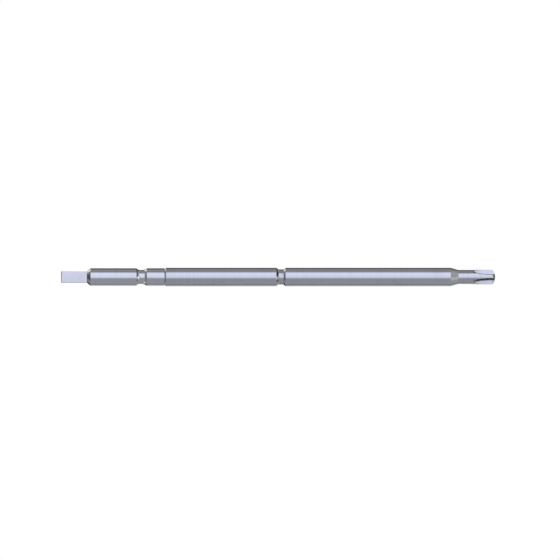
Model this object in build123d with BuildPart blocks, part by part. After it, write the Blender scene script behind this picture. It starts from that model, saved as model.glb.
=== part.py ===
from build123d import *
from math import asin, cos, degrees, radians, sin, sqrt, tan
import os

# Exchangeable screwdriver blade for a watchmaker's 4 mm driver chuck, with a free-turning finger
# sleeve. Every size is in millimetres.
#
# The blade's axis is X and the tip points along +X. +Z is up, and the flat of the half-moon tang
# faces -Y. The origin is on the axis, at the middle of the ground shank that the chuck grips.

# Half-moon tang and its lead into the shank
tang_diameter = 2.6
tang_length = 5.9
tang_flat_past_axis = 0.05  # the flat is milled a little past the axis, so two half-moons never bind
tang_end_break = 0.1
tang_shoulder = 0.065  # step from the tang out to the small end of the lead cone
lead_length = 0.77

# Ground shank, detent groove and rear collar
shank_diameter = 4.0
shank_length = 10.36
detent_floor_diameter = 3.2
detent_floor_length = 0.472
detent_rear_radius = 1.0  # the chuck's ball rolls into the groove over this side
detent_front_radius = 1.6
rear_collar_length = 4.0

# Body: the finger sleeve and the front barrel share one diameter
body_diameter = 4.2
sleeve_length = 25.59
sleeve_rear_chamfer = 0.2
barrel_length = 37.67
nose_angle = 16.0  # slope of the barrel's cone

# Ring groove between the sleeve and the barrel
thrust_collar_diameter = 3.5
thrust_collar_length = 1.16
groove_rear_wall = 0.48  # the sleeve's sloping front edge
groove_front_wall = 0.4  # the barrel's sloping rear edge
edge_break = 0.05

# Washer behind the sleeve
washer_diameter = 3.6
washer_thickness = 0.1

# Spindle and the fits on it
journal_diameter = 2.4
tail_diameter = 2.0
tail_engagement = 7.8
tail_lead = 0.2  # chamfer on the end of every pressed tail
socket_spare = 0.25  # air left below a pressed tail
drill_point_angle = 118.0
running_clearance = 0.03  # radial, between journal and bush
end_play = 0.03  # at each end of the sleeve

# Bushes
bush_outer_diameter = 3.0
bush_length = 4.0
bore_relief = 0.12  # radial gap between journal and sleeve, between the bushes

# Cross tip
neck_diameter = 3.2
neck_length = 3.3  # from the barrel's nose to where the blade starts to widen
crown_diameter = 3.32  # over the wings
crown_rise_length = 0.5
blade_reach = 8.28  # from the barrel's nose to the end of the blade
end_dome_radius = 2.8
wing_count = 4
wing_turn = 5.5  # how far the cross is turned from the tang's flat
flute_angle = 105.0  # between the two walls of a flute
flute_root_radius = 0.21
flute_core = 0.72  # from the axis to where the two walls would meet, at the deepest place
flute_deepest = 0.81  # from the blade's end back to the deepest place
flute_length = 4.8  # from the blade's end back to the wall where a flute starts
flute_start_lean = 25.0
cutter_radius = 15.0
cutter_overlap = 0.5  # how far the cutter reaches past the metal it removes

# Stations along the axis
shank_rear = -shank_length / 2
lead_rear = shank_rear - lead_length
tang_rear = lead_rear - tang_length
detent_rear = shank_length / 2
detent_depth = (shank_diameter - detent_floor_diameter) / 2
detent_rear_run = sqrt(2 * detent_rear_radius * detent_depth - detent_depth**2)
detent_front_run = sqrt(2 * detent_front_radius * detent_depth - detent_depth**2)
floor_rear = detent_rear + detent_rear_run
floor_front = floor_rear + detent_floor_length
detent_front = floor_front + detent_front_run
shank_front = detent_front + rear_collar_length
journal_rear = shank_front + washer_thickness
sleeve_rear = journal_rear + end_play
sleeve_front = sleeve_rear + sleeve_length
journal_front = sleeve_front + end_play
barrel_rear = journal_front + thrust_collar_length
cone_rear = barrel_rear + barrel_length
barrel_front = cone_rear + (body_diameter - neck_diameter) / 2 / tan(radians(nose_angle))
blade_front = barrel_front + blade_reach

tail_radius = tail_diameter / 2
drill_point = tail_radius / tan(radians(drill_point_angle / 2))
socket_depth = tail_engagement + socket_spare


def save(piece, name):
    """Label a finished piece and write it as its own STEP file."""
    piece.part.label = name
    export_step(piece.part, f"parts/{name}.step")


os.makedirs("parts", exist_ok=True)

# Drive shank: tang, lead cone, ground shank, detent groove and collar, turned in one
with BuildPart() as drive_shank:
    with BuildSketch(Plane.XZ):
        with BuildLine():
            tang_radius = tang_diameter / 2
            shank_radius = shank_diameter / 2
            floor_radius = detent_floor_diameter / 2
            rear = Polyline(
                (tang_rear, 0),
                (tang_rear, tang_radius - tang_end_break),
                (tang_rear + tang_end_break, tang_radius),
                (lead_rear, tang_radius),
                (lead_rear, tang_radius + tang_shoulder),
                (shank_rear, shank_radius),
                (detent_rear, shank_radius),
            )
            RadiusArc(rear @ 1, (floor_rear, floor_radius), -detent_rear_radius)
            floor = Line((floor_rear, floor_radius), (floor_front, floor_radius))
            RadiusArc(floor @ 1, (detent_front, shank_radius), -detent_front_radius)
            Polyline(
                (detent_front, shank_radius),
                (shank_front - edge_break, shank_radius),
                (shank_front, shank_radius - edge_break),
                (shank_front, tail_radius),
                (shank_front - socket_depth, tail_radius),
                (shank_front - socket_depth - drill_point, 0),
                (tang_rear, 0),
            )
        make_face()
    revolve(axis=Axis.X)
    # The tang is milled away in front of its flat, up to the lead cone
    with BuildSketch(Plane.XZ.offset(-tang_flat_past_axis)):
        with Locations(((tang_rear + lead_rear) / 2, 0)):
            Rectangle(tang_length, tang_diameter)
    extrude(amount=tang_diameter, mode=Mode.SUBTRACT)
save(drive_shank, "drive_shank")

# Spindle: ground journal between two pressed tails
with BuildPart() as spindle:
    with BuildSketch(Plane.XZ):
        with BuildLine():
            journal_radius = journal_diameter / 2
            tail_rear = shank_front - tail_engagement
            tail_front = barrel_rear + tail_engagement
            Polyline(
                (tail_rear, 0),
                (tail_rear, tail_radius - tail_lead),
                (tail_rear + tail_lead, tail_radius),
                (journal_rear, tail_radius),
                (journal_rear, journal_radius),
                (journal_front, journal_radius),
                (journal_front, tail_radius),
                (tail_front - tail_lead, tail_radius),
                (tail_front, tail_radius - tail_lead),
                (tail_front, 0),
                close=True,
            )
        make_face()
    revolve(axis=Axis.X)
save(spindle, "spindle")

# Rear thrust washer: held between the shank's front face and the spindle's shoulder
with BuildPart() as rear_thrust_washer:
    with BuildSketch(Plane.YZ.offset(shank_front)):
        Circle(washer_diameter / 2)
        Circle(tail_radius, mode=Mode.SUBTRACT)
    extrude(amount=washer_thickness)
save(rear_thrust_washer, "rear_thrust_washer")

# Finger sleeve: relieved bore with a seat for a bush at each end
with BuildPart() as finger_sleeve:
    with BuildSketch(Plane.XZ):
        with BuildLine():
            body_radius = body_diameter / 2
            seat_radius = bush_outer_diameter / 2
            relief_radius = journal_diameter / 2 + bore_relief
            Polyline(
                (sleeve_rear, seat_radius),
                (sleeve_rear, body_radius - sleeve_rear_chamfer),
                (sleeve_rear + sleeve_rear_chamfer, body_radius),
                (sleeve_front - groove_rear_wall, body_radius),
                (sleeve_front, thrust_collar_diameter / 2),
                (sleeve_front, seat_radius),
                (sleeve_front - bush_length, seat_radius),
                (sleeve_front - bush_length, relief_radius),
                (sleeve_rear + bush_length, relief_radius),
                (sleeve_rear + bush_length, seat_radius),
                close=True,
            )
        make_face()
    revolve(axis=Axis.X)
save(finger_sleeve, "finger_sleeve")

# Bushes: pressed flush into the sleeve's ends
for bush_name, bush_rear in (
    ("rear_bush", sleeve_rear),
    ("front_bush", sleeve_front - bush_length),
):
    with BuildPart() as bush:
        with BuildSketch(Plane.YZ.offset(bush_rear)):
            Circle(bush_outer_diameter / 2)
            Circle(journal_diameter / 2 + running_clearance, mode=Mode.SUBTRACT)
        extrude(amount=bush_length)
        chamfer(bush.edges().filter_by(GeomType.CIRCLE).group_by(SortBy.RADIUS)[0], edge_break)
    save(bush, bush_name)

# Thrust collar: sits on the front tail, between the journal's shoulder and the barrel
with BuildPart() as thrust_collar:
    with BuildSketch(Plane.YZ.offset(journal_front)):
        Circle(thrust_collar_diameter / 2)
        Circle(tail_radius, mode=Mode.SUBTRACT)
    extrude(amount=thrust_collar_length)
save(thrust_collar, "thrust_collar")

# Front barrel: long body and cone nose, with a socket drilled from each end
with BuildPart() as front_barrel:
    with BuildSketch(Plane.XZ):
        with BuildLine():
            Polyline(
                (barrel_rear + socket_depth + drill_point, 0),
                (barrel_rear + socket_depth, tail_radius),
                (barrel_rear, tail_radius),
                (barrel_rear, thrust_collar_diameter / 2),
                (barrel_rear + groove_front_wall, body_diameter / 2),
                (cone_rear, body_diameter / 2),
                (barrel_front, neck_diameter / 2),
                (barrel_front, tail_radius),
                (barrel_front - socket_depth, tail_radius),
                (barrel_front - socket_depth - drill_point, 0),
                close=True,
            )
        make_face()
    revolve(axis=Axis.X)
save(front_barrel, "front_barrel")

# A flute's cutter: the part of a wheel with a rounded V rim that is in the work, cut off where
# the flute starts. It stands for a flute on the +Z side.
neck_radius = neck_diameter / 2
crown_radius = crown_diameter / 2
flute_half_angle = radians(flute_angle / 2)
vee_height = crown_radius - flute_core + cutter_overlap
vee_half_width = vee_height * tan(flute_half_angle)
deepest_x = blade_front - flute_deepest
start_lean = radians(flute_start_lean)
wheel_axis = Axis((deepest_x, 0, flute_core + cutter_radius), (0, 1, 0))
turn_ahead = degrees(asin((flute_deepest + cutter_overlap) / cutter_radius))
turn_behind = degrees(asin((flute_length - flute_deepest + cutter_overlap) / cutter_radius))

with BuildSketch(Plane.YZ.offset(deepest_x)) as vee:
    with BuildLine():
        Polyline(
            (0, flute_core),
            (vee_half_width, flute_core + vee_height),
            (-vee_half_width, flute_core + vee_height),
            close=True,
        )
    make_face()
    fillet(vee.vertices().sort_by(Axis.Z)[0], radius=flute_root_radius)

with BuildPart() as flute_cutter:
    revolve(
        vee.sketch.rotate(wheel_axis, -turn_ahead),
        axis=wheel_axis,
        revolution_arc=turn_ahead + turn_behind,
    )
    flute_start = Plane(
        origin=(blade_front - flute_length, 0, neck_radius),
        z_dir=(cos(start_lean), 0, sin(start_lean)),
    )
    split(bisect_by=flute_start, keep=Keep.TOP)

# Blade tip: neck and cross with a domed end, and the tail that is pressed into the nose
with BuildPart() as blade_tip:
    with BuildSketch(Plane.XZ):
        with BuildLine():
            dome_drop = end_dome_radius - sqrt(end_dome_radius**2 - crown_radius**2)
            tail_end = barrel_front - tail_engagement
            neck_front = barrel_front + neck_length
            outline = Polyline(
                (blade_front, 0),
                (tail_end, 0),
                (tail_end, tail_radius - tail_lead),
                (tail_end + tail_lead, tail_radius),
                (barrel_front, tail_radius),
                (barrel_front, neck_radius),
                (neck_front, neck_radius),
                (neck_front + crown_rise_length, crown_radius),
                (blade_front - dome_drop, crown_radius),
            )
            RadiusArc(outline @ 1, (blade_front, 0), end_dome_radius)
        make_face()
    revolve(axis=Axis.X)
    for wing in range(wing_count):
        flute_turn = (wing + 0.5) * 360 / wing_count - wing_turn
        add(flute_cutter.part.rotate(Axis.X, flute_turn), mode=Mode.SUBTRACT)
save(blade_tip, "blade_tip")
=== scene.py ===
import math

import bpy
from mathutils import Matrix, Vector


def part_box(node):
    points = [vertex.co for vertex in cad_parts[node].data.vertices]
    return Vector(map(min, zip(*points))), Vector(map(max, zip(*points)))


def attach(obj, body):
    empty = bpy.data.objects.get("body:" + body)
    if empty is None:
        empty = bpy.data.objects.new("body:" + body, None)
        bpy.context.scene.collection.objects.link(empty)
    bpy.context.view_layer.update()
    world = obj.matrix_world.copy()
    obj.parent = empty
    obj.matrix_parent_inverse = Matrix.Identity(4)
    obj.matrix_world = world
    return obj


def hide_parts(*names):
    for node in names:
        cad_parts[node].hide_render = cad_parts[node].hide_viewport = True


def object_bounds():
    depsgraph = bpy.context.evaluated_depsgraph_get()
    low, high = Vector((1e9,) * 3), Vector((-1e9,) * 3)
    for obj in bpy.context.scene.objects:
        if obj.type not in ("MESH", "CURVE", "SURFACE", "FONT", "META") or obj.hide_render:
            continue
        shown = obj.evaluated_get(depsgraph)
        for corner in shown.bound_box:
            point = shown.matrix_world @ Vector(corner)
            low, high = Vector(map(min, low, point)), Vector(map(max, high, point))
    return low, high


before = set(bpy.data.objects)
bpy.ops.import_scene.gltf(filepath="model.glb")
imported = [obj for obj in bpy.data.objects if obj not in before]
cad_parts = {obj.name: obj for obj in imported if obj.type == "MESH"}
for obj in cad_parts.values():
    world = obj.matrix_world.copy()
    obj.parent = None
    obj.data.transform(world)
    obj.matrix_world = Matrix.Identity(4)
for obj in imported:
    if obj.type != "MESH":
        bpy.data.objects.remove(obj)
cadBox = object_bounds()
mm = 0.001
print("frame loaded:", ", ".join(sorted(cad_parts)))


# Workshop: what every part is made with

lathe = {
    "steps": 160,  # faces round every turned part
    "cornerFaces": 4,  # faces across every corner broken on the lathe
    "edgeFaces": 2,  # faces across every milled edge that is broken
    "rootFaces": 6,  # faces across the root that a cutter's nose leaves
    "arcFaces": 12,  # faces along every hollow side of a groove
    "seed": 0.1,  # side of the plane that every outline grows from
    "closeness": 1e-4,  # points nearer than this, in millimetres, are one
    "smoothUnder": 38,  # degrees between two faces
}


def span(node):  # rear end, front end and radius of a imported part, in millimetres
    low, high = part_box(node)
    return low.x / mm, high.x / mm, high.z / mm


def deselectAll():
    bpy.ops.object.select_all(action="DESELECT")


def pick(kind, test):  # kind is vertices or edges of the part in hand, left in edit mode
    part = bpy.context.object
    bpy.ops.object.mode_set(mode="EDIT")
    bpy.ops.mesh.select_mode(type={"vertices": "VERT", "edges": "EDGE"}[kind])
    bpy.ops.mesh.select_all(action="DESELECT")
    bpy.ops.object.mode_set(mode="OBJECT")
    for element in getattr(part.data, kind):
        element.select = test(element)
    bpy.ops.object.mode_set(mode="EDIT")


# An open line through points, left in edit mode. It grows from a small plane merged to one point
def drawLine(name, points):
    deselectAll()
    bpy.ops.mesh.primitive_plane_add(size=lathe["seed"], location=points[0])
    bpy.ops.object.transform_apply(location=True)
    bpy.context.object.name = name
    bpy.ops.object.mode_set(mode="EDIT")
    bpy.ops.mesh.select_mode(type="VERT")
    bpy.ops.mesh.select_all(action="SELECT")
    bpy.ops.mesh.merge(type="CENTER")
    for last, following in zip(points, points[1:]):
        step = [b - a for a, b in zip(last, following)]
        bpy.ops.mesh.extrude_vertices_move(TRANSFORM_OT_translate={"value": step})


# outline: (x, radius) or (x, radius, corner), where corner is how much of that corner is broken.
# A hollow part's outline is closed from its last point to its first
def turnPart(name, outline, hollow=False):
    drawLine(name, [(point[0], 0, point[1]) for point in outline])

    def isOn(points):
        return lambda vertex: any(
            math.hypot(vertex.co.x - x, vertex.co.z - radius) < lathe["closeness"]
            for x, radius, *corner in points
        )

    if hollow:
        pick("vertices", isOn([outline[0], outline[-1]]))
        bpy.ops.mesh.edge_face_add()
    for size in sorted({point[2] for point in outline if len(point) > 2}):
        pick("vertices", isOn([point for point in outline if point[2:] == (size,)]))
        bpy.ops.mesh.bevel(offset=size, segments=lathe["cornerFaces"], affect="VERTICES")
    bpy.ops.mesh.select_all(action="SELECT")
    bpy.ops.mesh.spin(steps=lathe["steps"], angle=math.tau, center=(0, 0, 0), axis=(1, 0, 0))
    bpy.ops.mesh.select_all(action="SELECT")
    bpy.ops.mesh.remove_doubles(threshold=lathe["closeness"])
    bpy.ops.mesh.normals_make_consistent(inside=False)
    bpy.ops.object.mode_set(mode="OBJECT")
    return bpy.context.object


def addModifier(part, kind, **settings):
    deselectAll()
    part.select_set(True)
    bpy.context.view_layer.objects.active = part
    bpy.ops.object.modifier_add(type=kind)
    modifier = part.modifiers[-1]
    for key, value in settings.items():
        setattr(modifier, key, value)
    bpy.ops.object.modifier_apply(modifier=modifier.name)


def millAway(part, cutter):
    addModifier(part, "BOOLEAN", operation="DIFFERENCE", solver="EXACT", object=cutter)
    deselectAll()
    cutter.select_set(True)
    bpy.ops.object.delete()


def breakEdges(part, width, over):  # edges that turn by more than over degrees
    addModifier(
        part,
        "BEVEL",
        width=width,
        segments=lathe["edgeFaces"],
        limit_method="ANGLE",
        angle_limit=math.radians(over),
    )


# Smooth the faces, bring the part down to metres, and hand it to the frame
def finishPart(part, material, node, body):
    deselectAll()
    part.select_set(True)
    bpy.context.view_layer.objects.active = part
    bpy.ops.object.shade_smooth_by_angle(angle=math.radians(lathe["smoothUnder"]))
    addModifier(part, "WEIGHTED_NORMAL", keep_sharp=True)
    bpy.ops.transform.resize(value=(mm, mm, mm), center_override=(0, 0, 0))
    bpy.ops.object.transform_apply(location=True, rotation=True, scale=True)
    part.data.materials.clear()
    part.data.materials.append(material)
    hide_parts(node)
    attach(part, body)
    print(f"{part.name}: {len(part.data.polygons)} faces")


# An arc in the outline, from one angle to another about a centre, both ends left out
def arc(centreX, centreRadius, radius, start, end, faces):
    angles = [math.radians(start + (end - start) * i / faces) for i in range(1, faces)]
    return [(centreX + radius * math.cos(a), centreRadius + radius * math.sin(a)) for a in angles]


# Material nodes


def addNode(tree, kind, inputs=None, **settings):
    node = tree.nodes.new(kind)
    for key, value in settings.items():
        setattr(node, key, value)
    for key, value in (inputs or {}).items():
        if isinstance(value, bpy.types.NodeSocket):
            tree.links.new(value, node.inputs[key])
        else:
            node.inputs[key].default_value = value
    return node


def calculate(tree, operation, first, second=0.0, third=0.0):
    inputs = {0: first, 1: second, 2: third}
    return addNode(tree, "ShaderNodeMath", inputs, operation=operation).outputs[0]


def addNoise(tree, place, scale, **inputs):
    inputs = {"Vector": place, "Scale": scale, **inputs}
    return addNode(tree, "ShaderNodeTexNoise", inputs).outputs[0]


# A soft step from least to most, as value goes from start to full
def fade(tree, value, start, full, least=0.0, most=1.0):
    inputs = {"Value": value, "From Min": start, "From Max": full, "To Min": least, "To Max": most}
    node = addNode(tree, "ShaderNodeMapRange", inputs, interpolation_type="SMOOTHSTEP")
    return node.outputs["Result"]


def mixColour(tree, factor, first, second):
    node = addNode(tree, "ShaderNodeMix", data_type="RGBA")
    for key, value in ((0, factor), (6, first), (7, second)):
        if isinstance(value, bpy.types.NodeSocket):
            tree.links.new(value, node.inputs[key])
        else:
            node.inputs[key].default_value = value if key == 0 else (*value, 1)
    return node.outputs[2]


def newGroup(name, inputs, outputs):
    tree = bpy.data.node_groups.new(name, "ShaderNodeTree")
    for label, kind, value in inputs:
        socket = tree.interface.new_socket(label, in_out="INPUT", socket_type="NodeSocket" + kind)
        socket.default_value = value
    for label, kind in outputs:
        tree.interface.new_socket(label, in_out="OUTPUT", socket_type="NodeSocket" + kind)
    return tree, tree.nodes.new("NodeGroupInput").outputs, tree.nodes.new("NodeGroupOutput").inputs


def useGroup(tree, group, **inputs):
    node = tree.nodes.new("ShaderNodeGroup")
    node.node_tree = group
    for key, value in inputs.items():
        node.inputs[key].default_value = value
    return node.outputs


# Fine rings left by turning and grinding: a height, and broader streaks of tone

ringPattern = {  # share of the rate of rings, and detail
    "height": (1.0, 3.0),
    "streaks": (0.16, 4.0),
}


def buildToolRings():
    tree, given, put = newGroup(
        "toolRings",
        [("ringsPerMm", "Float", 20.0), ("wander", "Float", 0.4)],
        [("height", "Float"), ("streaks", "Float")],
    )
    place = addNode(tree, "ShaderNodeTexCoord").outputs["Object"]
    axes = addNode(tree, "ShaderNodeSeparateXYZ", {0: place}).outputs
    rate = calculate(tree, "MULTIPLY", given["ringsPerMm"], 1 / mm)
    drift = calculate(tree, "MULTIPLY", given["wander"], 1 / mm)
    across = [calculate(tree, "MULTIPLY", axes[axis], drift) for axis in ("Y", "Z")]
    for output, (share, detail) in ringPattern.items():
        along = calculate(tree, "MULTIPLY", calculate(tree, "MULTIPLY", axes["X"], rate), share)
        drawnOut = addNode(tree, "ShaderNodeCombineXYZ", {0: along, 1: across[0], 2: across[1]})
        tree.links.new(addNoise(tree, drawnOut.outputs[0], 1.0, Detail=detail), put[output])
    return tree


# A thin uneven film from handling and oil: cloudy patches with a few finer smudges in them

filmPattern = {
    "patchDetail": 4.0,
    "patchRoughness": 0.6,
    "patchStart": 0.85,  # less the coverage
    "patchFull": 0.9,
    "smudgesPerPatch": 4.5,
    "smudgeDetail": 5.0,
    "smudgeSwirl": 0.6,
    "smudgeStart": 0.5,
    "smudgeFull": 0.8,
}


def buildHandlingFilm():
    pattern = filmPattern
    tree, given, put = newGroup(
        "handlingFilm",
        [("patchesPerMm", "Float", 0.3), ("coverage", "Float", 0.5)],
        [("film", "Float"), ("smudge", "Float")],
    )
    place = addNode(tree, "ShaderNodeTexCoord").outputs["Object"]
    rate = calculate(tree, "MULTIPLY", given["patchesPerMm"], 1 / mm)
    detail, roughness = pattern["patchDetail"], pattern["patchRoughness"]
    patch = addNoise(tree, place, rate, Detail=detail, Roughness=roughness)
    start = calculate(tree, "SUBTRACT", pattern["patchStart"], given["coverage"])
    tree.links.new(fade(tree, patch, start, pattern["patchFull"]), put["film"])
    finer = calculate(tree, "MULTIPLY", rate, pattern["smudgesPerPatch"])
    detail, swirl = pattern["smudgeDetail"], pattern["smudgeSwirl"]
    smudge = addNoise(tree, place, finer, Detail=detail, Distortion=swirl)
    spots = fade(tree, smudge, pattern["smudgeStart"], pattern["smudgeFull"])
    tree.links.new(spots, put["smudge"])
    return tree


# Where an edge has been rubbed bright: the corners, broken up by fine nicks

rubPattern = {
    "samples": 6,
    "cornerStart": 0.01,  # how far the rounded corner's normal leans from the face's own
    "cornerFull": 0.14,
    "nicksPerMm": 2.4,
    "nickDetail": 6.0,
    "nickRoughness": 0.7,
    "nickStart": 0.35,
    "nickFull": 0.62,
}


def buildEdgeRub():
    pattern = rubPattern
    tree, given, put = newGroup(
        "edgeRub",
        [("reach", "Float", 0.06 * mm), ("amount", "Float", 1.0)],
        [("rub", "Float")],
    )
    rounded = addNode(
        tree, "ShaderNodeBevel", {"Radius": given["reach"]}, samples=pattern["samples"]
    )
    straight = addNode(tree, "ShaderNodeNewGeometry").outputs["Normal"]
    agree = addNode(
        tree, "ShaderNodeVectorMath", {0: rounded.outputs[0], 1: straight}, operation="DOT_PRODUCT"
    )
    leaning = calculate(tree, "SUBTRACT", 1.0, agree.outputs["Value"])
    corner = fade(tree, leaning, pattern["cornerStart"], pattern["cornerFull"])
    place = addNode(tree, "ShaderNodeTexCoord").outputs["Object"]
    detail, roughness = pattern["nickDetail"], pattern["nickRoughness"]
    nicks = addNoise(tree, place, pattern["nicksPerMm"] / mm, Detail=detail, Roughness=roughness)
    broken = fade(tree, nicks, pattern["nickStart"], pattern["nickFull"])
    both = calculate(tree, "MULTIPLY", corner, broken)
    tree.links.new(calculate(tree, "MULTIPLY", both, given["amount"]), put["rub"])
    return tree


# Painted shade: dark colour in the inside corners and on the walls that don't face up as the tool
# lies, broken up by blotches

creaseShadePattern = {
    "samples": 8,
    "cornerStart": 0.94,  # how open the place is: 1 is all the sky, 0 none
    "cornerFull": 0.68,
    "blotchesPerMm": 1.1,
    "blotchDetail": 5.0,
    "blotchRoughness": 0.65,
    "blotchStart": 0.2,
    "blotchFull": 0.6,
    "thinnest": 0.55,  # of the painted shade, between the blotches
    "underStart": 0.12,  # how far the surface faces up: 1 is straight up, 0 sideways
    "underFull": -0.12,
}


def buildPaintedCreaseShade():
    pattern = creaseShadePattern
    tree, given, put = newGroup(
        "paintedCreaseShade",
        [("reach", "Float", 0.3 * mm), ("spread", "Float", 0.0), ("amount", "Float", 1.0)],
        [("creaseShade", "Float")],
    )
    # Ambient occlusion finds the inside corners where the shade is painted
    shade = addNode(
        tree,
        "ShaderNodeAmbientOcclusion",
        {"Distance": given["reach"]},
        samples=pattern["samples"],
        only_local=True,
    )
    openness = calculate(tree, "SUBTRACT", shade.outputs["AO"], given["spread"])
    corner = fade(tree, openness, pattern["cornerStart"], pattern["cornerFull"])
    place = addNode(tree, "ShaderNodeTexCoord").outputs["Object"]
    detail, roughness = pattern["blotchDetail"], pattern["blotchRoughness"]
    blotches = addNoise(tree, place, pattern["blotchesPerMm"] / mm, Detail=detail, Roughness=roughness)
    start, full, thinnest = pattern["blotchStart"], pattern["blotchFull"], pattern["thinnest"]
    uneven = fade(tree, blotches, start, full, thinnest)
    facing = addNode(tree, "ShaderNodeTexCoord").outputs["Normal"]
    upwards = addNode(tree, "ShaderNodeSeparateXYZ", {"Vector": facing}).outputs["Z"]
    under = fade(tree, upwards, pattern["underStart"], pattern["underFull"])
    both = calculate(tree, "MULTIPLY", corner, uneven)
    shadedUnder = calculate(tree, "MULTIPLY", both, under)
    strength = calculate(tree, "MULTIPLY", shadedUnder, given["amount"])
    tree.links.new(calculate(tree, "MINIMUM", strength, 1.0), put["creaseShade"])
    return tree


toolRings = buildToolRings()
handlingFilm = buildHandlingFilm()
edgeRub = buildEdgeRub()
paintedCreaseShade = buildPaintedCreaseShade()


# How the effects add up in every metal

metalMix = {
    "toneStreaks": (0.3, 0.7),  # streak heights between tone and streakTone
    "roughStreaks": (0.25, 0.75),  # streak heights between the two roughnesses
    "smudgeShare": 0.5,  # of the film's roughness
    "rubRoughness": 0.08,
    "creaseShadeRoughness": 0.35,
}


def makeMetal(name, look):
    material = bpy.data.materials.new(name)
    material.use_nodes = True
    tree = material.node_tree
    shader = tree.nodes["Principled BSDF"]
    shader.inputs["Metallic"].default_value = 1.0
    rings = useGroup(tree, toolRings, ringsPerMm=look["ringsPerMm"], wander=look["wander"])
    patches, coverage = look["patchesPerMm"], look["coverage"]
    film = useGroup(tree, handlingFilm, patchesPerMm=patches, coverage=coverage)
    rub = useGroup(tree, edgeRub, reach=look["rubReach"] * mm, amount=look["rubAmount"])
    streaks = fade(tree, rings["streaks"], *metalMix["toneStreaks"])
    streaked = mixColour(tree, streaks, look["tone"], look["streakTone"])
    filmed = mixColour(tree, film["film"], streaked, look["filmTone"])
    rubbed = mixColour(tree, rub["rub"], filmed, look["rubTone"])
    # Painted shade: the colour goes toward a dark tone in inside corners and on down-facing walls,
    # and the roughness rises there
    reach, spread = look["creaseShadeReach"] * mm, look["creaseShadeSpread"]
    creaseShade = useGroup(tree, paintedCreaseShade, reach=reach, spread=spread, amount=look["creaseShadeAmount"])
    packed = mixColour(tree, creaseShade["creaseShade"], rubbed, look["creaseShadeTone"])
    tree.links.new(packed, shader.inputs["Base Color"])
    bare = fade(tree, rings["streaks"], *metalMix["roughStreaks"], *look["roughness"])
    filmRough = look["filmRoughness"]
    smudgeRough = filmRough * metalMix["smudgeShare"]
    greasy = calculate(tree, "MULTIPLY_ADD", film["film"], filmRough, bare)
    smudged = calculate(tree, "MULTIPLY_ADD", film["smudge"], smudgeRough, greasy)
    worn = calculate(tree, "MULTIPLY_ADD", rub["rub"], metalMix["rubRoughness"], smudged)
    dulled = calculate(tree, "MULTIPLY_ADD", creaseShade["creaseShade"], metalMix["creaseShadeRoughness"], worn)
    tree.links.new(dulled, shader.inputs["Roughness"])
    bump = addNode(
        tree,
        "ShaderNodeBump",
        {"Height": rings["height"], "Strength": 1.0, "Distance": look["ringDepth"] * mm},
    )
    tree.links.new(bump.outputs[0], shader.inputs["Normal"])
    return material


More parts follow.
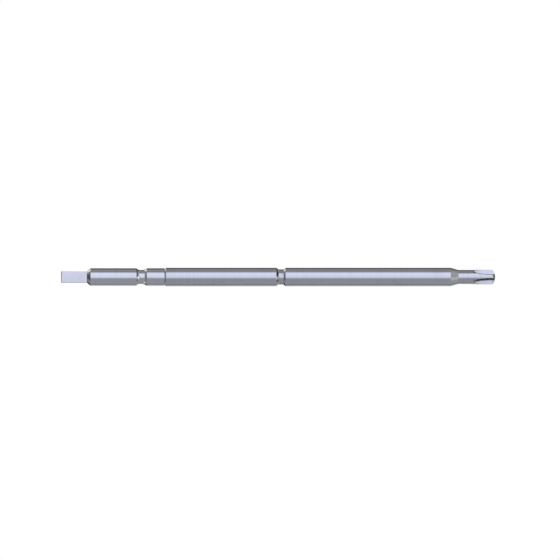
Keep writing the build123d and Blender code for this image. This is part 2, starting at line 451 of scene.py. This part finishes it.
# tone is the clean metal, filmTone what the film makes of it, rubTone its rubbed corners, and the
# last tone the painted shade in inside corners and on down-facing walls. Reaches, spreads and
# depths are in millimetres
finishes = {
    "shankSteel": {  # ground, and kept bright by the chuck
        "tone": (0.530, 0.530, 0.535),
        "streakTone": (0.500, 0.500, 0.508),
        "filmTone": (0.455, 0.452, 0.448),
        "rubTone": (0.62, 0.62, 0.62),
        "roughness": (0.085, 0.135),
        "filmRoughness": 0.07,
        "ringsPerMm": 26.0,
        "wander": 0.35,
        "ringDepth": 0.00012,
        "patchesPerMm": 0.32,
        "coverage": 0.34,
        "rubReach": 0.05,
        "rubAmount": 0.8,
        "creaseShadeTone": (0.07, 0.065, 0.06),
        "creaseShadeReach": 0.25,
        "creaseShadeSpread": 0.0,
        "creaseShadeAmount": 0.5,
    },
    "bodySteel": {  # finely turned, then polished
        "tone": (0.500, 0.500, 0.507),
        "streakTone": (0.476, 0.476, 0.484),
        "filmTone": (0.425, 0.423, 0.420),
        "rubTone": (0.60, 0.60, 0.60),
        "roughness": (0.085, 0.135),
        "filmRoughness": 0.08,
        "ringsPerMm": 22.0,
        "wander": 0.3,
        "ringDepth": 0.00012,
        "patchesPerMm": 0.25,
        "coverage": 0.36,
        "rubReach": 0.06,
        "rubAmount": 0.9,
        "creaseShadeTone": (0.07, 0.065, 0.06),
        "creaseShadeReach": 0.2,
        "creaseShadeSpread": 0.0,
        "creaseShadeAmount": 0.4,
    },
    "collarSteel": {  # hardened and ground
        "tone": (0.505, 0.502, 0.500),
        "streakTone": (0.465, 0.462, 0.462),
        "filmTone": (0.36, 0.34, 0.32),
        "rubTone": (0.58, 0.58, 0.58),
        "roughness": (0.10, 0.17),
        "filmRoughness": 0.10,
        "ringsPerMm": 18.0,
        "wander": 0.25,
        "ringDepth": 0.0002,
        "patchesPerMm": 0.6,
        "coverage": 0.4,
        "rubReach": 0.05,
        "rubAmount": 0.7,
        "creaseShadeTone": (0.07, 0.065, 0.06),
        "creaseShadeReach": 0.25,
        "creaseShadeSpread": 0.0,
        "creaseShadeAmount": 0.6,
    },
    "tipSteel": {  # hardened, with milled flutes
        "tone": (0.505, 0.505, 0.512),
        "streakTone": (0.470, 0.470, 0.478),
        "filmTone": (0.41, 0.40, 0.39),
        "rubTone": (0.63, 0.63, 0.63),
        "roughness": (0.10, 0.16),
        "filmRoughness": 0.08,
        "ringsPerMm": 16.0,
        "wander": 0.5,
        "ringDepth": 0.0002,
        "patchesPerMm": 0.5,
        "coverage": 0.34,
        "rubReach": 0.05,
        "rubAmount": 1.0,
        # near-black painted shade in the flute roots and under the wings
        "creaseShadeTone": (0.005, 0.005, 0.005),
        "creaseShadeReach": 0.4,
        "creaseShadeSpread": 0.06,
        "creaseShadeAmount": 12.0,
    },
    "bushBronze": {
        "tone": (0.56, 0.36, 0.18),
        "streakTone": (0.50, 0.31, 0.15),
        "filmTone": (0.30, 0.19, 0.10),
        "rubTone": (0.70, 0.48, 0.26),
        "roughness": (0.26, 0.38),
        "filmRoughness": 0.12,
        "ringsPerMm": 12.0,
        "wander": 0.4,
        "ringDepth": 0.0006,
        "patchesPerMm": 0.8,
        "coverage": 0.45,
        "rubReach": 0.05,
        "rubAmount": 0.8,
        "creaseShadeTone": (0.07, 0.065, 0.06),
        "creaseShadeReach": 0.2,
        "creaseShadeSpread": 0.0,
        "creaseShadeAmount": 0.6,
    },
}

metals = {name: makeMetal(name, look) for name, look in finishes.items()}
print("finishes made:", ", ".join(metals))


# Drive shank: half-moon tang, lead cone, ground shank, detent groove and rear collar

driveShank = {
    "tangRadius": 1.3,
    "tangLength": 5.9,
    "tangEndBreak": 0.1,
    "tangCorner": 0.02,
    "flatPastAxis": 0.05,
    "flatRoot": 0.1,  # left in the corner by the milling cutter
    "flatBreak": 0.11,
    "cutterSpare": 1.0,  # how far the cutter reaches past the tang's end
    "shoulder": 0.065,
    "shoulderRoot": 0.025,
    "shoulderCorner": 0.015,
    "leadLength": 0.77,
    "leadCorner": 0.06,
    "shankLength": 10.36,
    "grooveDepth": 0.4,
    "grooveRearRadius": 1.0,
    "grooveFloor": 0.472,
    "grooveFrontRadius": 1.6,
    "grooveCorner": 0.035,
    "socketRadius": 1.0,
    "socketDepth": 8.05,
    "socketCorner": 0.04,
    "drillPoint": 0.6,
    "frontBreak": 0.05,
    "frontCorner": 0.015,
    "milledBreak": 0.02,
    "milledOver": 50,  # degrees: edges that turn by more than this are broken
}


def buildDriveShank():
    size = driveShank
    rear, front, radius = span("drive_shank")
    tang = size["tangRadius"]
    leadRear = rear + size["tangLength"]
    shankRear = leadRear + size["leadLength"]
    grooveRear = shankRear + size["shankLength"]
    grooveFloor = radius - size["grooveDepth"]
    rearCurve, frontCurve = size["grooveRearRadius"], size["grooveFrontRadius"]
    rearTurn = math.acos(1 - size["grooveDepth"] / rearCurve)
    frontTurn = math.acos(1 - size["grooveDepth"] / frontCurve)
    floorRear = grooveRear + rearCurve * math.sin(rearTurn)
    floorFront = floorRear + size["grooveFloor"]
    grooveFront = floorFront + frontCurve * math.sin(frontTurn)
    rearStart, frontEnd = 270 - math.degrees(rearTurn), 270 + math.degrees(frontTurn)
    faces = lathe["arcFaces"]
    socket = size["socketRadius"]
    socketEnd = front - size["socketDepth"]
    outline = [
        (rear, 0),
        (rear, tang - size["tangEndBreak"], size["tangCorner"]),
        (rear + size["tangEndBreak"], tang, size["tangCorner"]),
        (leadRear, tang, size["shoulderRoot"]),
        (leadRear, tang + size["shoulder"], size["shoulderCorner"]),
        (shankRear, radius, size["leadCorner"]),
        (grooveRear, radius, size["grooveCorner"]),
        *arc(floorRear, grooveFloor + rearCurve, rearCurve, rearStart, 270, faces),
        (floorRear, grooveFloor),
        (floorFront, grooveFloor),
        *arc(floorFront, grooveFloor + frontCurve, frontCurve, 270, frontEnd, faces),
        (grooveFront, radius, size["grooveCorner"]),
        (front - size["frontBreak"], radius, size["frontCorner"]),
        (front, radius - size["frontBreak"], size["frontCorner"]),
        (front, socket, size["socketCorner"]),
        (socketEnd, socket),
        (socketEnd - size["drillPoint"], 0),
    ]
    shank = turnPart("driveShank", outline)

    # The flat is milled by a block that reaches from the shoulder past the tang's end
    length, width = leadRear - rear + size["cutterSpare"], radius * 2
    deselectAll()
    bpy.ops.mesh.primitive_cube_add(
        size=1,
        location=(leadRear - length / 2, size["flatPastAxis"] - width / 2, 0),
        scale=(length, width, width),
    )
    cutter = bpy.context.object
    bpy.ops.object.transform_apply(location=True, scale=True)

    def isRoot(edge):
        ends = [cutter.data.vertices[i].co for i in edge.vertices]
        return all(end.x > leadRear - lathe["closeness"] and end.y > 0 for end in ends)

    pick("edges", isRoot)
    bpy.ops.mesh.bevel(offset=size["flatRoot"], segments=lathe["rootFaces"], affect="EDGES")
    bpy.ops.object.mode_set(mode="OBJECT")
    millAway(shank, cutter)

    def isFlatEdge(edge):
        ends = [shank.data.vertices[i].co for i in edge.vertices]
        onFlat = all(abs(end.y - size["flatPastAxis"]) < lathe["closeness"] for end in ends)
        return onFlat and min(end.x for end in ends) < leadRear - 2 * size["flatRoot"]

    pick("edges", isFlatEdge)
    bpy.ops.mesh.bevel(offset=size["flatBreak"], segments=1, affect="EDGES")
    bpy.ops.object.mode_set(mode="OBJECT")
    breakEdges(shank, size["milledBreak"], size["milledOver"])
    finishPart(shank, metals["shankSteel"], "drive_shank", "blade")


# Thrust washer and thrust collar: two hardened rings that the sleeve turns between. The collar is
# the floor of the ring groove

thrustWasher = {"bore": 1.0, "corner": 0.025}
thrustCollar = {"bore": 1.0, "corner": 0.04}


def buildThrustRing(name, node, size):
    rear, front, radius = span(node)
    bore, corner = size["bore"], size["corner"]
    corners = [(rear, bore), (rear, radius), (front, radius), (front, bore)]
    ring = turnPart(name, [(*place, corner) for place in corners], hollow=True)
    finishPart(ring, metals["collarSteel"], node, "blade")


# Finger sleeve: relieved bore with a bush seat at each end

fingerSleeve = {
    "rearChamfer": 0.2,
    "frontSlope": 0.48,
    "frontRadius": 1.75,
    "bodyCorner": 0.05,
    "endCorner": 0.03,
    "seatRadius": 1.5,
    "seatDepth": 4.0,
    "reliefRadius": 1.32,
}


def buildFingerSleeve():
    size = fingerSleeve
    rear, front, radius = span("finger_sleeve")
    seat, depth, relief = size["seatRadius"], size["seatDepth"], size["reliefRadius"]
    body, end = size["bodyCorner"], size["endCorner"]
    outline = [
        (rear, seat, end),
        (rear, radius - size["rearChamfer"], end),
        (rear + size["rearChamfer"], radius, body),
        (front - size["frontSlope"], radius, body),
        (front, size["frontRadius"], end),
        (front, seat, end),
        (front - depth, seat),
        (front - depth, relief),
        (rear + depth, relief),
        (rear + depth, seat),
    ]
    sleeve = turnPart("fingerSleeve", outline, hollow=True)
    finishPart(sleeve, metals["bodySteel"], "finger_sleeve", "sleeve")


# Front barrel: long body and cone nose, drilled from both ends

frontBarrel = {
    "rearRadius": 1.75,
    "rearSlope": 0.4,
    "noseRadius": 1.6,
    "noseAngle": 16.0,  # degrees
    "bodyCorner": 0.05,
    "endCorner": 0.03,
    "socketRadius": 1.0,
    "socketDepth": 8.05,
    "socketCorner": 0.04,
    "drillPoint": 0.6,
}


def buildFrontBarrel():
    size = frontBarrel
    rear, front, radius = span("front_barrel")
    nose, socket, depth = size["noseRadius"], size["socketRadius"], size["socketDepth"]
    body, end, mouth = size["bodyCorner"], size["endCorner"], size["socketCorner"]
    coneRear = front - (radius - nose) / math.tan(math.radians(size["noseAngle"]))
    outline = [
        (rear + depth + size["drillPoint"], 0),
        (rear + depth, socket),
        (rear, socket, mouth),
        (rear, size["rearRadius"], end),
        (rear + size["rearSlope"], radius, body),
        (coneRear, radius, body),
        (front, nose, end),
        (front, socket, mouth),
        (front - depth, socket),
        (front - depth - size["drillPoint"], 0),
    ]
    barrel = turnPart("frontBarrel", outline)
    finishPart(barrel, metals["bodySteel"], "front_barrel", "blade")


# Blade tip: neck and cross with a domed end, on a tail pressed into the nose

bladeTip = {
    "neckRadius": 1.6,
    "neckCorner": 0.02,
    "crownRear": 3.3,  # from the nose to where the wings start to stand proud of the neck
    "crownRise": 0.5,
    "crownCorner": 0.1,
    "tailRadius": 1.0,
    "tailLength": 7.8,
    "tailLead": 0.2,
    "domeRadius": 2.8,
    "domeCorner": 0.05,
    "domeFaces": 14,
    "wings": 4,
    "wingTurn": 5.5,  # degrees from the tang's flat
    "fluteAngle": 105.0,  # degrees
    "fluteRoot": 0.21,  # radius left by the cutter's nose
    "fluteCore": 0.72,  # from the axis to where the walls would meet, at the deepest place
    "deepest": 0.81,  # from the blade's end back to the deepest place
    "sweepRadius": 15.0,
    "sweepFaces": 24,
    "fluteLength": 4.95,  # at the surface, to the wall where it starts
    "entryLean": 62.0,  # degrees
    "cutterSpare": 0.15,
    "wingBreak": 0.03,
    "wingOver": 40,  # degrees: edges that turn by more than this are broken
}


# A flute's cutter: a rounded V swept along an arc, cut off along the leaning wall it starts at
def buildFluteCutter(bladeFront, crown, turned):
    size = bladeTip
    core, half = size["fluteCore"], math.radians(size["fluteAngle"] / 2)
    height = crown - core + size["cutterSpare"]
    width = height * math.tan(half)
    deepest, sweep = bladeFront - size["deepest"], size["sweepRadius"]
    ahead = math.asin((size["deepest"] + size["cutterSpare"]) / sweep)
    behind = math.asin((size["fluteLength"] - size["deepest"] + size["cutterSpare"]) / sweep)
    across = ((width, core + height), (0, core), (-width, core + height))
    drawLine("cutter", [(deepest, y, z) for y, z in across])
    pick("vertices", lambda vertex: abs(vertex.co.y) < lathe["closeness"])
    rounding = size["fluteRoot"] / math.tan(half)
    bpy.ops.mesh.bevel(offset=rounding, segments=lathe["rootFaces"], affect="VERTICES")
    bpy.ops.mesh.select_all(action="SELECT")
    bpy.ops.mesh.edge_face_add()
    centre = (deepest, 0, core + sweep)
    bpy.ops.transform.rotate(value=ahead, orient_axis="Y", center_override=centre)
    turn = ahead + behind
    bpy.ops.mesh.spin(steps=size["sweepFaces"], angle=turn, center=centre, axis=(0, -1, 0))
    lean = math.radians(size["entryLean"])
    bpy.ops.mesh.select_all(action="SELECT")
    bpy.ops.mesh.bisect(
        plane_co=(bladeFront - size["fluteLength"], 0, size["neckRadius"]),
        plane_no=(math.cos(lean), 0, math.sin(lean)),
        use_fill=True,
        clear_inner=True,
    )
    bpy.ops.mesh.select_all(action="SELECT")
    bpy.ops.mesh.remove_doubles(threshold=lathe["closeness"])
    bpy.ops.mesh.normals_make_consistent(inside=False)
    aside = -math.radians(turned)
    bpy.ops.transform.rotate(value=aside, orient_axis="X", center_override=(0, 0, 0))
    bpy.ops.object.mode_set(mode="OBJECT")
    return bpy.context.object


def buildBladeTip():
    size = bladeTip
    rear, front, crown = span("blade_tip")
    tail, dome, neck = size["tailRadius"], size["domeRadius"], size["neckRadius"]
    neckRear = rear + size["tailLength"]
    crownRear = neckRear + size["crownRear"]
    domeStart = math.degrees(math.asin(crown / dome))
    outline = [
        (rear, 0),
        (rear, tail - size["tailLead"]),
        (rear + size["tailLead"], tail),
        (neckRear, tail),
        (neckRear, neck, size["neckCorner"]),
        (crownRear, neck, size["crownCorner"]),
        (crownRear + size["crownRise"], crown, size["crownCorner"]),
        (front - dome + math.sqrt(dome**2 - crown**2), crown, size["domeCorner"]),
        *arc(front - dome, 0, dome, domeStart, 0, size["domeFaces"]),
        (front, 0),
    ]
    tip = turnPart("bladeTip", outline)
    for wing in range(size["wings"]):
        turned = (wing + 0.5) * 360 / size["wings"] - size["wingTurn"]
        millAway(tip, buildFluteCutter(front, crown, turned))
    breakEdges(tip, size["wingBreak"], size["wingOver"])
    finishPart(tip, metals["tipSteel"], "blade_tip", "blade")


buildDriveShank()
buildThrustRing("rearThrustWasher", "rear_thrust_washer", thrustWasher)
buildFingerSleeve()
buildThrustRing("thrustCollar", "thrust_collar", thrustCollar)
buildFrontBarrel()
buildBladeTip()

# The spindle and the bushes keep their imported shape
hiddenMetals = {"spindle": "collarSteel", "rear_bush": "bushBronze", "front_bush": "bushBronze"}
for node, metal in hiddenMetals.items():
    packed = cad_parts[node]
    packed.data.materials.clear()
    packed.data.materials.append(metals[metal])
print("parts made")


# Studio: what polished steel sees, as a gradient over the angle above the horizon in front,
# with round soft cards in it

studio = {
    "gradient": (  # degrees (0 in front, 90 overhead, 180 behind, negative below), colour
        (-180, (0.86, 0.86, 0.92)),
        (-150, (0.84, 0.86, 0.93)),
        (-134, (0.66, 0.68, 0.78)),
        (-118, (0.43, 0.45, 0.50)),
        (-104, (0.36, 0.37, 0.43)),
        (-88, (0.52, 0.53, 0.59)),
        (-60, (0.49, 0.51, 0.54)),
        (-32, (0.48, 0.50, 0.55)),
        (-19, (0.56, 0.58, 0.68)),
        (-12, (0.80, 0.83, 1.02)),
        (-5, (1.12, 1.17, 1.40)),
        (6, (1.24, 1.28, 1.62)),
        (24, (1.26, 1.32, 1.70)),
        (42, (1.34, 1.42, 1.76)),
        (52, (1.24, 1.32, 1.60)),
        (62, (0.74, 0.78, 0.90)),
        (72, (0.40, 0.41, 0.46)),
        (82, (0.36, 0.37, 0.39)),
        (104, (0.49, 0.48, 0.51)),
        (118, (0.30, 0.30, 0.32)),
        (130, (0.12, 0.12, 0.13)),
        (148, (0.12, 0.12, 0.13)),
        (164, (0.38, 0.38, 0.41)),
        (180, (0.60, 0.60, 0.65)),
    ),
    "cards": (  # direction, half width and softness in degrees, colour
        ((1, 0, 0), 66, 7, (0.60, 0.60, 0.61)),
        ((0.52, -0.79, -0.32), 10, 10, (0.84, 0.84, 0.86)),
        ((0.88, 0.03, 0.45), 20, 14, (0.40, 0.40, 0.41)),
        ((0.93, -0.25, 0.27), 10, 4, (0.04, 0.04, 0.045)),
        ((0.84, -0.02, 0.54), 10, 4, (0.04, 0.04, 0.045)),
        ((0.67, 0.35, 0.65), 10, 4, (0.04, 0.04, 0.045)),
        ((0.88, -0.05, -0.48), 10, 12, (0.20, 0.20, 0.21)),
        ((0.97, -0.2, -0.06), 7, 9, (0.46, 0.46, 0.47)),
        ((0.93, -0.27, -0.22), 6, 6, (0.72, 0.72, 0.74)),
        ((0.49, 0.85, 0.21), 22, 5, (0.01, 0.01, 0.015)),
        ((0.6, 0.5, 0.62), 14, 10, (0.12, 0.12, 0.13)),
        ((0.72, 0.22, -0.65), 8, 10, (0.36, 0.36, 0.37)),
        ((0.77, -0.62, -0.12), 9, 6, (3.2, 3.2, 3.3)),
        ((-1, 0, 0), 48, 7, (0.36, 0.36, 0.38)),
        ((-1, 0, 0), 20, 11, (0.13, 0.13, 0.14)),
        ((-0.42, 0.16, -0.89), 9, 5, (1.5, 1.5, 1.6)),
        ((-0.70, 0.71, 0), 18, 10, (0.40, 0.40, 0.42)),
        ((-0.53, 0.59, 0.61), 15, 8, (1.45, 1.45, 1.55)),
        ((-0.46, 0.78, -0.42), 22, 4, (0.02, 0.02, 0.03)),
    ),
    "backdrop": (1.0, 1.0, 1.0),
}


def buildStudioCard():
    tree, given, put = newGroup(
        "studioCard",
        [("towards", "Vector", (0, 0, 1)), ("inner", "Float", 0.9), ("outer", "Float", 0.8)],
        [("mask", "Float")],
    )
    direction = addNode(tree, "ShaderNodeTexCoord").outputs["Generated"]
    facing = addNode(
        tree, "ShaderNodeVectorMath", {0: direction, 1: given["towards"]}, operation="DOT_PRODUCT"
    )
    tree.links.new(fade(tree, facing.outputs["Value"], given["outer"], given["inner"]), put["mask"])
    return tree


def buildStudio():
    world = bpy.data.worlds.new("studio")
    world.use_nodes = True
    bpy.context.scene.world = world
    tree = world.node_tree
    tree.nodes.clear()
    direction = addNode(tree, "ShaderNodeTexCoord").outputs["Generated"]
    axes = addNode(tree, "ShaderNodeSeparateXYZ", {0: direction}).outputs
    ahead = calculate(tree, "MULTIPLY", axes["Y"], -1.0)
    angle = calculate(tree, "ARCTAN2", axes["Z"], ahead)
    turned = calculate(tree, "MULTIPLY_ADD", angle, 1 / math.tau, 0.5)
    gradient = addNode(tree, "ShaderNodeValToRGB", {"Fac": turned})
    ramp = gradient.color_ramp
    stops = studio["gradient"]
    while len(ramp.elements) < len(stops):
        ramp.elements.new(0.5)
    for element, (degrees, colour) in zip(ramp.elements, stops):
        element.position = 0.5 + degrees / 360
        element.color = (*colour, 1)
    seen = gradient.outputs["Color"]
    card = buildStudioCard()
    for towards, halfWidth, softness, colour in studio["cards"]:
        length = math.hypot(*towards)
        inner, outer = (math.cos(math.radians(halfWidth + side * softness)) for side in (-1, 1))
        mask = useGroup(
            tree, card, towards=[part / length for part in towards], inner=inner, outer=outer
        )["mask"]
        seen = mixColour(tree, mask, seen, colour)
    mirrored = addNode(tree, "ShaderNodeBackground", {"Color": seen})
    backdrop = addNode(tree, "ShaderNodeBackground", {"Color": (*studio["backdrop"], 1)})
    isCamera = addNode(tree, "ShaderNodeLightPath").outputs["Is Camera Ray"]
    surface = addNode(
        tree, "ShaderNodeMixShader", {0: isCamera, 1: mirrored.outputs[0], 2: backdrop.outputs[0]}
    )
    addNode(tree, "ShaderNodeOutputWorld", {"Surface": surface.outputs[0]})


buildStudio()

# Floor: a wide pale sheet that the blade lies on, and that steel doesn't mirror. It is clear from
# below

floor = {
    "side": 6.0,
    "tone": (0.86, 0.86, 0.87),
    "mottle": (0.83, 0.83, 0.84),
    "grainPerMetre": 900.0,
    "grainDetail": 4.0,
    "roughness": 0.7,
}


def buildFloor():
    deselectAll()
    low = cadBox[0].z
    bpy.ops.mesh.primitive_plane_add(size=floor["side"], location=(0, 0, low))
    sheet = bpy.context.object
    sheet.name = "floorSheet"
    bpy.ops.object.transform_apply(location=True)
    sheet.visible_glossy = False
    sheet.visible_shadow = False
    material = bpy.data.materials.new("palePaper")
    material.use_nodes = True
    tree = material.node_tree
    shader = tree.nodes["Principled BSDF"]
    shader.inputs["Roughness"].default_value = floor["roughness"]
    place = addNode(tree, "ShaderNodeTexCoord").outputs["Object"]
    grain = addNoise(tree, place, floor["grainPerMetre"], Detail=floor["grainDetail"])
    mottled = mixColour(tree, grain, floor["tone"], floor["mottle"])
    tree.links.new(mottled, shader.inputs["Base Color"])
    clear = addNode(tree, "ShaderNodeBsdfTransparent")
    below = addNode(tree, "ShaderNodeNewGeometry").outputs["Backfacing"]
    surface = addNode(
        tree, "ShaderNodeMixShader", {0: below, 1: shader.outputs[0], 2: clear.outputs[0]}
    )
    tree.links.new(surface.outputs[0], tree.nodes["Material Output"].inputs["Surface"])
    sheet.data.materials.append(material)


buildFloor()

# Lights: only the floor and its shadows use them, because the steel mirrors the studio

lights = {
    "key": {"place": (-0.12, -0.22, 0.34), "size": 0.16, "power": 2.6, "colour": (1.0, 0.99, 0.97)},
    "fill": {"place": (0.26, 0.20, 0.40), "size": 0.30, "power": 1.8, "colour": (0.96, 0.98, 1.0)},
}


def buildLight(name, light):
    deselectAll()
    aim = (cadBox[0] + cadBox[1]) / 2
    away = aim.copy()
    away.x, away.y, away.z = light["place"]
    turned = (aim - away).to_track_quat("-Z", "Y").to_euler()
    bpy.ops.object.light_add(type="AREA", location=light["place"], rotation=turned)
    lamp = bpy.context.object
    lamp.name = name + "Light"
    lamp.data.size = light["size"]
    lamp.data.energy = light["power"]
    lamp.data.color = light["colour"]
    lamp.visible_glossy = False
    lamp.visible_camera = False


for name, light in lights.items():
    buildLight(name, light)
print("studio made")


# Camera: level, square to the axis and without perspective

camera = {
    "width": 126.392 * mm,  # of the view
    "aimX": 37.57 * mm,
    "aimZ": -0.66 * mm,
    "distance": 0.3,
}


def buildCamera():
    deselectAll()
    place = (camera["aimX"], -camera["distance"], camera["aimZ"])
    bpy.ops.object.camera_add(location=place, rotation=(math.pi / 2, 0, 0))
    view = bpy.context.object
    view.data.type = "ORTHO"
    view.data.ortho_scale = camera["width"]
    bpy.context.scene.camera = view
    bpy.context.scene.view_settings.view_transform = "Standard"


buildCamera()
